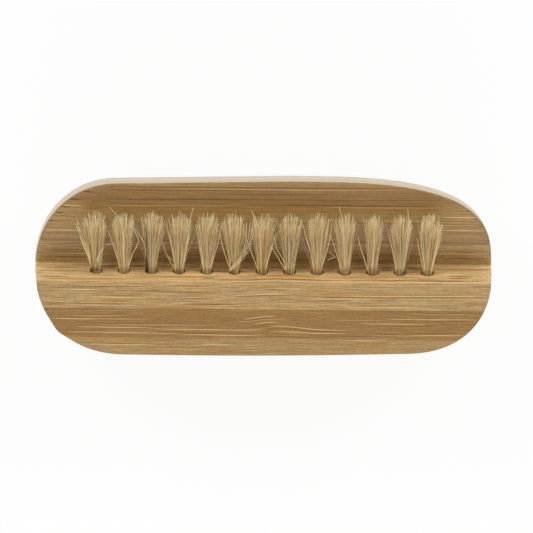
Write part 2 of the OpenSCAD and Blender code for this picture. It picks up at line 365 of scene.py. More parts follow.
def drill_bit(depth):
    """A drill with its tip up and its collar at the origin, where it eases the mouth of the hole."""
    bpy.ops.mesh.primitive_circle_add(
        vertices=HOLE_SIDES, radius=HOLE_RADIUS, fill_type="NGON", location=(0, 0, depth),
    )
    bit = bpy.context.object
    flare = (HOLE_RADIUS + 2 * HOLE_CHAMFER) / HOLE_RADIUS
    with editing(bit):
        bpy.ops.mesh.extrude_region_move(TRANSFORM_OT_translate={"value": (0, 0, HOLE_CHAMFER - depth)})
        bpy.ops.mesh.extrude_region_move(TRANSFORM_OT_translate={"value": (0, 0, -2 * HOLE_CHAMFER)})
        bpy.ops.transform.resize(value=(flare, flare, 1))
    bpy.ops.object.transform_apply()
    clean(bit)
    return bit


def join_copies(piece, places):
    """One object with a copy of piece for each matrix in places; piece itself goes."""
    copies = []
    for place in places:
        copy = bpy.data.objects.new(piece.name, piece.data.copy())
        copy.data.transform(place)
        scene.collection.objects.link(copy)
        copies.append(copy)
    bpy.data.objects.remove(piece)
    bpy.ops.object.select_all(action="DESELECT")
    for copy in copies:
        copy.select_set(True)
    bpy.context.view_layer.objects.active = copies[0]
    bpy.ops.object.join()
    return bpy.context.object


def saw_off(piece, place, normal):
    """Saws piece through at place and throws away the side that normal points to."""
    with editing(piece):
        bpy.ops.mesh.bisect(
            plane_co=place, plane_no=normal, use_fill=True, clear_outer=True, threshold=SAW_THRESHOLD,
        )


def new_group(name, given, result):
    """A new node group with number sockets of these names, and the outputs of its input node."""
    group = bpy.data.node_groups.new(name, "ShaderNodeTree")
    for socket in given:
        group.interface.new_socket(name=socket, in_out="INPUT", socket_type="NodeSocketFloat")
    group.interface.new_socket(name=result, in_out="OUTPUT", socket_type="NodeSocketFloat")
    return group, add_node(group, "NodeGroupInput").outputs


# One long fibre that the saw met lengthwise. It shows as a thin streak, and these two shape its tapering
TAPER_POWER, TAPER_GAIN = 0.4, 2.8


def fibre_line():
    """A node group that is 1 along one fibre and fades to 0 at its sides and ends."""
    names = ("Along", "Across", "Start", "End", "Place", "Rise", "Half Width", "Strength")
    group, given = new_group("fibre_line", names, "Share")
    way = add_node(group, "MapRange", (given["Along"], given["Start"], given["End"]))
    rest = add_node(group, "Math", (1.0, way), operation="SUBTRACT")
    taper = add_node(group, "Math", (way, rest), operation="MULTIPLY")
    taper = add_node(group, "Math", (taper, TAPER_POWER), operation="POWER")
    centre = add_node(group, "Math", (given["Rise"], way, given["Place"]), operation="MULTIPLY_ADD")
    gap = add_node(group, "Math", (given["Across"], centre), operation="SUBTRACT")
    gap = add_node(group, "Math", (gap,), operation="ABSOLUTE")
    gap = add_node(group, "Math", (gap, given["Half Width"]), operation="DIVIDE")
    inside = add_node(group, "Math", (taper, TAPER_GAIN), operation="MULTIPLY")
    inside = add_node(group, "Math", (inside, gap), operation="SUBTRACT", use_clamp=True)
    share = add_node(group, "Math", (inside, given["Strength"]), operation="MULTIPLY")
    add_node(group, "NodeGroupOutput", {"Share": share})
    return group


# At a knuckle of the culm all fibres swerve to one side and back. This one is highest along one line.
def knuckle_swerve():
    """A node group that says how far the fibres swerve, in millimetres."""
    group, given = new_group("knuckle_swerve", ("Along", "Across"), "Swerve")
    parts = []
    for axis, centre, before, after, low, high in (
        ("Along", KNUCKLE_X, KNUCKLE_LEFT, KNUCKLE_RIGHT, 0.0, 1.0),
        ("Across", KNUCKLE_Y, KNUCKLE_SPREAD, KNUCKLE_SPREAD, KNUCKLE_REST, KNUCKLE_RISE),
    ):
        slopes = (centre - before, centre, low, high), (centre, centre + after, high, low)
        up, down = (
            add_node(group, "MapRange", (given[axis], start, end, first, last),
                     interpolation_type="SMOOTHERSTEP")
            for start, end, first, last in slopes
        )
        parts.append(add_node(group, "Math", (up, down), operation="MINIMUM"))
    swerve = add_node(group, "Math", (parts[0], parts[1]), operation="MULTIPLY")
    add_node(group, "NodeGroupOutput", {"Swerve": swerve})
    return group


# Bamboo, planed and sanded along the fibre and lightly oiled: fine straight fibres, bundles of darker ones
# with a pale edge beside them, and a dull silky sheen that is strongest where it is seen at a low angle. On
# the upright walls that sheen is painted into the colour as a pale tint.
# The fibres are drawn twice as coarse as real ones, which would not show. A pattern is the length and width
# of its cells in millimetres, and a shift that keeps it from lying like another one.
DRIFT_CELLS = (55.0, 9.0, 0.0)
GOLD_CELLS = (30.0, 0.5, 23.0)
FIBRE_CELLS = (5.0, 0.2, 11.0)
GRIT_CELLS = (0.6, 0.26, 5.0)
CLOUD_CELLS = (30.0, 2.6, 37.0)
FIBRE_CONTRAST, GRIT_CONTRAST, CLOUD_CONTRAST = 0.24, 0.15, 0.05
DRIFT = 0.3
# How far one strip's patterns are moved from those of the strip before it
STRIP_SHIFT = (7.3, 3.1, 1.7)
# Most noise lies between these two, and golden streaks begin and are full at these
NOISE_LOW, NOISE_HIGH = 0.3, 0.7
GOLD_LOW, GOLD_HIGH, GOLD_MOST = 0.5, 0.64, 0.4
GLUE_HALF_WIDTH, GLUE_MOST, GLUE_TONE = 0.07, 0.5, "#6b4a26"
# Between these two heights of the fibre noise the roughness goes from the one value to the other
ROUGH_FROM, ROUGH_TO, SMOOTHEST, ROUGHEST = 0.35, 0.65, 0.45, 0.58
# The belt sanding and a painted sheen fade out as a face's normal rises from the first to the second. Where
# they are full, the painted sheen tints the wall pale by a share, standing in for the white room that the
# wall reflects at a low angle, and the sanding lowers its roughness to a share
SANDING_AND_SHEEN_FROM, SANDING_AND_SHEEN_TO, PAINTED_SHEEN_SHARE, SANDED_SMOOTH, PAINTED_SHEEN_TONE = 0.25, 0.45, 0.36, 0.62, "#f0dcb0"
RELIEF, RELIEF_SHARE = 0.03 * MM, 0.6
# Bundles of fibre: cell length, cell width, share of the cell that a bundle fills, colour, strength and the
# strength of the pale edge. A bundle is full up to its core, and by chance some are much fainter than others
BUNDLE_SHIFT, BUNDLE_STEP = 3.0, 6.0
BUNDLE_CORE, FAINT_TO, FULL_FROM, FAINT = 0.65, 0.2, 0.9, 0.1
PALE_EDGE, PALE_EDGE_TONE = 0.22, "#e0c698"
BUNDLES = (
    (80.0, 0.80, 0.18, "#6e4817", 0.8, 0.35),
    (30.0, 0.50, 0.26, "#7d5319", 0.75, 0.3),
    (10.0, 0.36, 0.34, "#8c5f24", 0.65, 0.0),
)
# Where the knuckle is, how far to each side it reaches, and how high the fibres rise on and beside its line
KNUCKLE_X, KNUCKLE_LEFT, KNUCKLE_RIGHT = 2.6, 8.5, 12.0
KNUCKLE_Y, KNUCKLE_SPREAD, KNUCKLE_RISE, KNUCKLE_REST = -11.3, 4.5, 0.6, 0.2
# What kinds of long fibre there are: colour, half width and strength
FIBRES = {
    "dark": ("#573715", 0.11, 0.75),
    "brown": ("#74491a", 0.09, 0.75),
    "amber": ("#9c6620", 0.1, 0.85),
    "gold": ("#ae7d34", 0.16, 0.65),
    "light": ("#dfc08a", 0.075, 0.7),
    "pale": ("#c39d62", 0.12, 0.55),
}
KNUCKLE_SWERVE, FIBRE_LINE = knuckle_swerve(), fibre_line()


def bamboo(name, seed, tones, golden, glue_lines=(), knuckle=False, fibres=()):
    """A bamboo finish. tones are (y, colour) across the strip, fibres (kind, start, end, y, rise)."""
    material, tree = new_finish(name)
    spot = add_node(tree, "TexCoord").outputs["Object"]
    grain = add_node(tree, "VectorMath", {0: spot, "Scale": 1 / MM}, operation="SCALE")
    along, across, height = add_node(tree, "SeparateXYZ", (grain,)).outputs

    def pattern(kind, length, width, shift, aside=0.0, **inputs):
        """Cells or noise stretched along the fibre, with cells of this length and width."""
        stretched = add_node(tree, "Mapping", {
            "Vector": grain,
            "Location": (
                seed * STRIP_SHIFT[0] + shift, seed * STRIP_SHIFT[1] + shift + aside / width,
                seed * STRIP_SHIFT[2] - shift,
            ),
            "Scale": (1 / length, 1 / width, 1 / width),
        })
        return add_node(tree, kind, {"Vector": stretched, "Scale": 1.0, **inputs})

    # the fibres drift a little, and swerve at the knuckle
    drift = pattern("TexNoise", *DRIFT_CELLS, Detail=1.0)
    lifted = add_node(tree, "Math", (drift, 2 * DRIFT, across), operation="MULTIPLY_ADD")
    lifted = add_node(tree, "Math", (lifted, DRIFT), operation="SUBTRACT")
    if knuckle:
        swerve = add_node(tree, "Group", {"Along": along, "Across": across}, node_tree=KNUCKLE_SWERVE)
        lifted = add_node(tree, "Math", (lifted, swerve), operation="SUBTRACT")
    grain = add_node(tree, "CombineXYZ", (along, lifted, height))

    # the colour changes a little across the strip, in thin golden streaks and in every fibre
    colour = linear(tones[0][1])
    if len(tones) > 1:
        first, last = tones[0][0], tones[-1][0]
        way = add_node(tree, "MapRange", (lifted, first, last))
        stops = [((y - first) / (last - first), tone) for y, tone in tones]
        colour = add_node(tree, "ValToRGB", (way,), stops=stops)
    gold = pattern("TexNoise", *GOLD_CELLS, Detail=2.0)
    share = add_node(tree, "MapRange", (gold, GOLD_LOW, GOLD_HIGH, 0.0, GOLD_MOST))
    colour = add_node(tree, "Mix", {0: share, 6: colour, 7: linear(golden)}, data_type="RGBA")
    fibre, grit, cloud = (
        pattern("TexNoise", *cells, Detail=2.0) for cells in (FIBRE_CELLS, GRIT_CELLS, CLOUD_CELLS)
    )
    light = 1.0
    for noise, contrast in ((fibre, FIBRE_CONTRAST), (grit, GRIT_CONTRAST), (cloud, CLOUD_CONTRAST)):
        part = (noise, NOISE_LOW, NOISE_HIGH, 1 - contrast, 1 + contrast)
        part = add_node(tree, "MapRange", part, clamp=False)
        light = add_node(tree, "Math", (part, light), operation="MULTIPLY")
    colour = add_node(tree, "VectorMath", {0: colour, "Scale": light}, operation="SCALE")

    # bundles of darker fibres, each more or less dark: strokes along a face, dots at the ends
    marks = []
    for i, (length, width, size, tone, strength, pale) in enumerate(BUNDLES):
        for aside, shade, most in ((PALE_EDGE, PALE_EDGE_TONE, pale), (0.0, tone, strength)):
            cells = pattern("TexVoronoi", length, width, BUNDLE_SHIFT + BUNDLE_STEP * i, aside)
            chance = add_node(tree, "SeparateColor", (cells.outputs["Color"],))
            here = add_node(tree, "MapRange", (chance, FAINT_TO, FULL_FROM, FAINT * most, most))
            share = add_node(tree, "MapRange", (cells, BUNDLE_CORE * size, size, here, 0.0))
            marks.append((share, shade))
    for kind, start, end, y, rise in fibres:
        tone, half_width, strength = FIBRES[kind]
        share = add_node(tree, "Group", {
            "Along": along, "Across": lifted, "Start": start, "End": end, "Place": y, "Rise": rise,
            "Half Width": half_width, "Strength": strength,
        }, node_tree=FIBRE_LINE)
        marks.append((share, tone))

    # the upright walls were sanded longest, on a fine belt, which leaves them smoother; their paleness is a
    # painted sheen, standing in for the white room that they reflect at a low angle
    normal = add_node(tree, "NewGeometry").outputs["Normal"]
    lean = add_node(tree, "SeparateXYZ", (normal,)).outputs["Z"]
    lean = add_node(tree, "Math", (lean,), operation="ABSOLUTE")
    pale, smooth = (
        add_node(tree, "MapRange", (lean, SANDING_AND_SHEEN_FROM, SANDING_AND_SHEEN_TO, on_walls, plain))
        for on_walls, plain in ((PAINTED_SHEEN_SHARE, 0.0), (SANDED_SMOOTH, 1.0))
    )
    # painted sheen: the upright walls are tinted pale, as if they reflected the white room
    marks.append((pale, PAINTED_SHEEN_TONE))
    rough = add_node(tree, "MapRange", (fibre, ROUGH_FROM, ROUGH_TO, SMOOTHEST, ROUGHEST))
    rough = add_node(tree, "Math", (rough, smooth), operation="MULTIPLY")
    for axis, seam in glue_lines:
        gap = add_node(tree, "Math", ({"y": across, "z": height}[axis], seam), operation="SUBTRACT")
        gap = add_node(tree, "Math", (gap,), operation="ABSOLUTE")
        share = add_node(tree, "MapRange", (gap, GLUE_HALF_WIDTH, 2 * GLUE_HALF_WIDTH, GLUE_MOST, 0.0))
        marks.append((share, GLUE_TONE))
    for share, tone in marks:
        colour = add_node(tree, "Mix", {0: share, 6: colour, 7: linear(tone)}, data_type="RGBA")

    relief = add_node(tree, "Bump", {"Height": fibre, "Distance": RELIEF, "Strength": RELIEF_SHARE})
    wood = {"Base Color": colour, "Roughness": rough, "Normal": relief, "IOR": 1.5}
    wood = add_node(tree, "BsdfPrincipled", wood)
    add_node(tree, "OutputMaterial", {"Surface": wood})
    return material


def lay_strip(node, sides, layer, seed, tones, golden, bits=None, knuckle=False, fibres=()):
    """Saws a strip out of the block between its sides and its layer's faces, for the CAD node. A side or face
    that is None stays as the block has it. bits are the places and the depth of the strip's holes."""
    only(block)
    bpy.ops.object.duplicate()
    strip = bpy.context.object
    strip.name = strip.data.name = node + "_bamboo"
    for places, axis in ((sides, Vector((0, 1, 0))), (layer, Vector((0, 0, 1)))):
        for place, outwards in zip(places, (-1, 1)):
            if place is not None:
                saw_off(strip, place * axis, outwards * axis)
    if bits:
        places, depth = bits
        cut_away(strip, join_copies(drill_bit(depth), places))
    clean(strip)
    bpy.ops.object.shade_smooth_by_angle(angle=SMOOTH_ANGLE)
    strip.modifiers.new("weighted", "WEIGHTED_NORMAL").keep_sharp = True
    bpy.ops.object.modifier_apply(modifier="weighted")
    glue = [("z", z / MM) for z in layer if z is not None]
    glue += [("y", y / MM) for y in sides if y not in (None, GROOVE_Y)]
    strip.data.materials.clear()
    strip.data.materials.append(bamboo(node + "_bamboo", seed, tones, golden, glue, knuckle, fibres))
    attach(strip, "root")
    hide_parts(node)


base_low, base_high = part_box("base_middle_strip")
lower_bits = [hole for row in range(len(LOWER_ROWS)) for hole in lower_holes(row)], LOWER_HOLE_DEPTH
for seed, (node, sides, slot, tone, golden) in enumerate((
    ("base_front_strip", (None, base_low.y), "toasted_bamboo", "#a17f50", "#9c763c"),
    ("base_middle_strip", (base_low.y, base_high.y), "pale_bamboo", "#b59568", "#b08d4f"),
    ("base_rear_strip", (base_high.y, None), "toasted_bamboo", "#a98759", "#a37f44"),
), start=1):
    lay_strip(node, sides, (None, base_high.z), seed, [(0, tone)], golden, lower_bits)

# The lower core lies over the base, in strips of the same bamboo whose seams lie beside the base's. The holes
# of the underside end in two of them.
core_low, core_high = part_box("lower_core_middle_strip")
for seed, (node, sides, slot, tone, golden, bits) in enumerate((
    ("lower_core_front_strip", (None, core_low.y), "pale_bamboo", "#b59568", "#b08d4f", None),
    ("lower_core_middle_strip", (core_low.y, core_high.y), "toasted_bamboo", "#a17f50", "#9c763c",
     lower_bits),
    ("lower_core_rear_strip", (core_high.y, None), "pale_bamboo", "#b39264", "#ad8949", lower_bits),
), start=4):
    lay_strip(node, sides, (core_low.z, core_high.z), seed, [(0, tone)], golden, bits)

# The upper core holds the bottom of the groove and the deep ends of the groove's holes. Where it shows, in
# the groove, dark fibres cross the shallow wall and a pale splinter is left at its right end.
GROOVE_PITCH = 6.05 * MM
GROOVE_ROW_X = -0.35 * MM
GROOVE_TUFTS = 13
GROOVE_HOLE_RISE = 3.05 * MM
GROOVE_HOLE_DEPTH = 8.0 * MM
WALL_ANGLE = math.atan(GROOVE_DEPTH / STEEP_RUN)
MOUTH_Y = GROOVE_Y - GROOVE_HOLE_RISE * STEEP_RUN / GROOVE_DEPTH
MOUTH_Z = GROOVE_BOTTOM + GROOVE_HOLE_RISE


def groove_mouth(i):
    """The frame of a groove hole: its origin at the mouth, its Z out of the wall along the tuft."""
    x = GROOVE_ROW_X + (i - (GROOVE_TUFTS - 1) / 2) * GROOVE_PITCH
    return Matrix.Translation((x, MOUTH_Y, MOUTH_Z)) @ Matrix.Rotation(-WALL_ANGLE, 4, "X")


over_low, over_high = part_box("upper_core_middle_strip")
into_wall = Matrix.Rotation(math.pi, 4, "X")
groove_bits = [groove_mouth(i) @ into_wall for i in range(GROOVE_TUFTS)], GROOVE_HOLE_DEPTH
groove_floor_fibres = (
    ("brown", -49.5, -38.8, 4.9, 0.1), ("brown", -49.8, -38.6, 3.75, -0.1), ("brown", -49.7, -38, 2.15, -0.1),
    ("amber", -48, -12, 4.5, 0.1), ("brown", -30, 20, 4.7, 0.1), ("amber", -20, 44, 2.7, 0.1),
    ("brown", 39, 49.8, 5.3, 0.1), ("amber", 38.5, 49.9, 3.8, 0.1), ("brown", 39, 49.7, 2.1, 0.1),
    ("light", -46, -30, 2.8, 0), ("light", 30, 49, 3.2, 0), ("brown", -10, 36, 1.6, 0),
)
for seed, (node, sides, slot, tones, golden, bits, fibres) in enumerate((
    ("upper_core_front_strip", (None, over_low.y), "toasted_bamboo", [(0, "#a17f50")], "#9c763c", None, ()),
    # the light tone up to y 0.6, on the steep wall of the groove, is painted light: that wall faces the lamps
    # behind
    ("upper_core_middle_strip", (over_low.y, over_high.y), "pale_bamboo",
     [(-1.0, "#d7b57d"), (0.6, "#d7b57d"), (1.0, "#a58651"), (9.0, "#a58651")], "#a37e41",
     groove_bits, groove_floor_fibres),
    ("upper_core_rear_strip", (over_high.y, None), "toasted_bamboo", [(0, "#a68557")], "#a07a40", None, ()),
), start=7):
    lay_strip(node, sides, (over_low.z, over_high.z), seed, tones, golden, bits, fibres=fibres)

# The top layer is what the picture shows most of: a darker front strip, the lighter strip with the mouths of
# the holes, the thin feather that is left of that strip behind the groove, and the rear strip. A knuckle of
# the culm crosses the two front strips right of the middle.
top_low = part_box("top_front_strip")[0].z
front_seam, rear_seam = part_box("top_front_strip")[1].y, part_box("top_rear_strip")[0].y
front_fibres = (
    ("light", -46.5, -36, -11.1, -0.1), ("light", -41, -24, -12.9, -0.1), ("light", -25, 1, -13.2, -0.3),
    ("brown", -45, 0, -13.7, -0.5), ("light", -43, -17.5, -14, -0.15), ("light", -18.5, 0.5, -14.4, -0.2),
    ("gold", -45, -23, -15.2, -0.35), ("brown", -42, -23.5, -16.4, -0.1), ("light", -38, -22.5, -16.75, 0),
    ("light", -14, -5.5, -16.5, -0.15), ("light", -4.5, 3, -11, 0.2), ("brown", -5, 3, -11.4, 0.1),
    ("light", -2, 3.3, -12.3, 0.1), ("brown", -2.5, 3.3, -12.8, 0.1),
    ("light", 1, 19, -13, -0.4), ("brown", 0.5, 18, -13.4, -0.35), ("light", 1, 19.5, -14, -0.1),
    ("brown", 8, 20.5, -14.4, 0.1), ("brown", 12.5, 24, -14.7, 0), ("brown", 17, 27.5, -15.2, 0.1),
    ("light", 17, 27.5, -15.5, 0.15), ("brown", -1, 13, -15, 0), ("gold", 5.5, 11, -9.3, -0.3),
    ("light", 27, 47.5, -10.9, 0.1), ("brown", 27, 47.5, -11.2, 0.1), ("light", 20.5, 36, -11.9, -0.1),
    ("brown", 24, 37.5, -12.3, 0), ("brown", 30.5, 44.8, -13.9, 0.15), ("light", 32.5, 44.6, -14.3, 0),
    ("amber", 17.5, 28.5, -16.8, 0.1), ("amber", -13.5, 0, -17.7, 0), ("amber", -30, -8, -17.3, 0.1),
)
middle_fibres = (
    ("brown", -44.4, -26.3, -4.1, 0.15), ("brown", -21, -11.2, -3.85, 0.05), ("light", -44.4, -36, -4.9, 0.3),
    ("brown", -38.5, -26.5, -5.85, -0.1), ("light", -38.5, -25, -6.3, -0.1), ("gold", -38.3, -23, -6.7, -0.1),
    ("amber", -37, -28, -7, -0.1), ("brown", -33.5, -21.9, -4.95, 0.1), ("brown", -22.5, -9, -5.25, 0.1),
    ("gold", -20, -8, -5.5, 0.1), ("light", -7, 6, -5.75, 0.1), ("brown", -6.5, 6.5, -6.05, 0.15),
    ("brown", -49, -42.2, -7.75, 0), ("amber", -49, -43, -8.1, 0.1), ("brown", -19.3, 0.5, -7.85, 0.3),
    ("gold", -10, 0, -7.6, 0.1), ("amber", -42, -31, -8.6, -0.1), ("gold", -28, -9.4, -8.4, 0.35),
    ("amber", -27, -12, -8.65, 0.2), ("brown", 0, 5.5, -4.75, 0), ("amber", -1, 6, -4.1, 0.1),
    ("amber", 0.5, 6.5, -6.95, 0.1), ("brown", 5, 20, -7.1, 0.4), ("gold", -3.5, 19, -4, -0.15),
    ("amber", 5.5, 24, -5.9, -0.1), ("gold", 8, 30, -5, 0.1), ("light", 10, 28, -6.4, 0.1),
    ("amber", 17, 51, -5.5, 0.3), ("brown", 12, 51, -6.15, 0.3), ("light", 17, 50, -5.8, 0.3),
    ("amber", 18, 37, -8, 0.2), ("light", 18, 37, -8.25, 0.2), ("brown", -16, 18.5, -2.45, 0.1),
    # the two pale lines at y -2.8 and -2.65 lie on the eased front edge of the groove and are painted
    # highlight
    ("light", -16, 18.5, -2.8, 0.1), ("brown", 17.5, 49.5, -2.35, 0), ("light", 17.5, 49.5, -2.65, 0),
    ("gold", -49, -27, -2.4, 0), ("amber", -49, -42, -2, 0), ("gold", -30, -8, -1.9, 0.1),
    ("brown", 40, 46, -1.4, 0), ("amber", 40, 45.5, -1.75, 0), ("brown", -14, -10.5, -2.1, 0),
    ("gold", -4, 12, -1.8, 0), ("gold", 14, 33, -1.7, 0.1), ("gold", -49, -38, -0.9, 0),
    ("light", -49, -37, -1.3, 0.1), ("gold", 39, 49.5, -0.2, 0), ("light", 38, 49, -0.8, 0.1),
    ("amber", -49, -40, -0.3, 0.1),
)
wall_fibres = (
    ("dark", -37, -4, 17.8, 0.2), ("dark", -20, 34, 17.95, 0), ("amber", 10, 36, 17.6, 0),
    ("dark", -38, 4, 17.15, 0.05), ("dark", -14, 16, 16.4, 0), ("pale", -24, 30, 17.45, 0.1),
    ("dark", -36.5, 2, 15.05, 0.1), ("brown", -3, 36, 15.15, 0), ("amber", -38, -16, 16, 0.1),
    ("pale", -37, -3, 13.6, 0.2), ("dark", -4, 38, 13.95, 0), ("amber", -37, -14, 13.2, 0.2),
    ("amber", 8, 42, 13.1, 0.1), ("pale", 12, 40, 13.5, 0.1), ("amber", -34, 8, 12.3, 0),
    ("gold", -28, 26, 12.8, 0.2), ("amber", -41, -36, 16.75, 0.2), ("brown", -43, -38.5, 14.95, 0.1),
    ("brown", -44.9, -40, 13.2, -0.1), ("light", -44.5, -39.5, 13.6, -0.1), ("amber", -45.5, -40, 11.9, 0),
    ("brown", -47.6, -40.6, 11.2, -0.1), ("amber", -47.9, -41, 10.3, 0), ("brown", 39, 45.4, 14.9, 0),
    ("amber", 40, 46, 14.2, 0), ("brown", 40, 47, 13.1, 0), ("amber", 38.5, 47.5, 12.2, 0.1),
    ("brown", 38.5, 48, 10.6, -0.1), ("light", 39, 47.5, 11.5, 0),
)
feather_fibres = (
    ("amber", 38, 48.8, 9.6, 0.1), ("amber", -40, 20, 9.8, 0.3), ("gold", 38.8, 49, 7.2, 0.1),
    ("amber", -48.9, -40, 8.6, 0), ("brown", -49.3, -39.6, 7.3, 0), ("gold", -49.5, -40, 6.5, 0.1),
    ("brown", 38.6, 48.5, 7.9, 0), ("light", 38, 49, 8.6, 0), ("light", -49, -39, 8, 0),
)
for seed, (node, sides, slot, tones, golden, bits, knuckle, fibres) in enumerate((
    ("top_front_strip", (None, front_seam), "toasted_bamboo",
     [(-19.2, "#a28455"), (-15.6, "#a18352"), (-15.0, "#8e6b37"), (-9.0, "#8d6a36")], "#90692d",
     None, True, front_fibres),
    # the light tone from y -2.6 on, on the steep wall of the groove, is painted light: that wall faces the
    # lamps behind
    ("top_middle_strip", (front_seam, GROOVE_Y), "pale_bamboo",
     [(-9.0, "#aa8c5c"), (-3.0, "#aa8c5c"), (-2.6, "#d7b57d"), (1.5, "#d7b57d")], "#b38f4f",
     groove_bits, True, middle_fibres),
    ("top_feather_strip", (GROOVE_Y, rear_seam), "shaded_bamboo",
     [(5.5, "#876a3e"), (7, "#8e7143"), (10, "#947542")], "#937136",
     None, False, feather_fibres),
    ("top_rear_strip", (rear_seam, None), "toasted_bamboo",
     [(10.0, "#a38246"), (12.0, "#9b7c43"), (13.4, "#97763a"), (14.6, "#906e38"), (17.0, "#8d6a35"),
      (19.0, "#9c793c")], "#916e31",
     None, False, wall_fibres),
), start=10):
    lay_strip(node, sides, (top_low, None), seed, tones, golden, bits, knuckle, fibres)
bpy.data.objects.remove(block)

# Each tuft in the groove is a lock of blond boar bristle, folded over its anchor and driven into its hole.
# The bristles leave the wall side by side and fan out in small clumps, and a few stray or are nearly black.
BRISTLE_SIDES = 4
BRISTLE_RINGS = 7
GROOVE_BRISTLES = 200
GROOVE_CLUMPS = 36
GROOVE_LENGTH = 15.2 * MM
GROOVE_ROOT = 6.0 * MM
GROOVE_NECK = 1.0 * MM
GROOVE_FAN = 2.85 * MM
# A tuft fans out less across the row than along it, and half way up it has done a share of its fanning out
GROOVE_FLATNESS = 0.8
GROOVE_FLARE = 0.36
# How far the middle of each tuft leans along the row at its tips, in millimetres, and how far it fans out
GROOVE_LEAN = (-0.6, -0.35, 0.15, 0.2, 0.1, -0.35, 0.1, 0.0, -0.1, -0.2, 0.1, 0.15, 0.3)
GROOVE_FANS = (0.95, 0.97, 0.95, 0.95, 0.93, 1.0, 1.0, 0.95, 1.0, 0.9, 0.72, 0.88, 0.85)
BRISTLE_RADIUS = 0.066 * MM
BRISTLE_TIP = 0.022 * MM
# How uneven the bristles are: turn on the disc, shortest and longest clump, pull towards the clump, fan, and
# wander of the middle and tip. Some are shorter by up to SHORTEST, and all at the edge by RIM
TURN_RANGE = -0.2, 0.2
CLUMP_RANGE = -1.3 * MM, 0.5 * MM
PULL_RANGE = 0.2, 0.6
FAN_RANGE = 0.96, 1.08
WANDER = 0.1 * MM
SHORTEST = 4.5 * MM
RIM = 1.9 * MM
# A few bristles are loose: they lie in no clump and fan out further along the row
LOOSE_BRISTLES = 0.12
LOOSE_RANGE = 1.1, 1.45
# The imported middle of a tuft, where single bristles can't be seen, is made of a few thick strands. Their
# spread, length and fanning out are shares of the tuft's, and they leave the hole at a share of their length
CORE_STRANDS = 18
CORE_SPREAD = 0.76
CORE_LENGTH = 0.8
CORE_RADIUS = 0.3 * MM
CORE_FLARE = 0.6
CORE_MOUTH = 0.35
CORE_RANGE, CORE_TINTS = (0.8, 1.0), (0.7, 1.0)
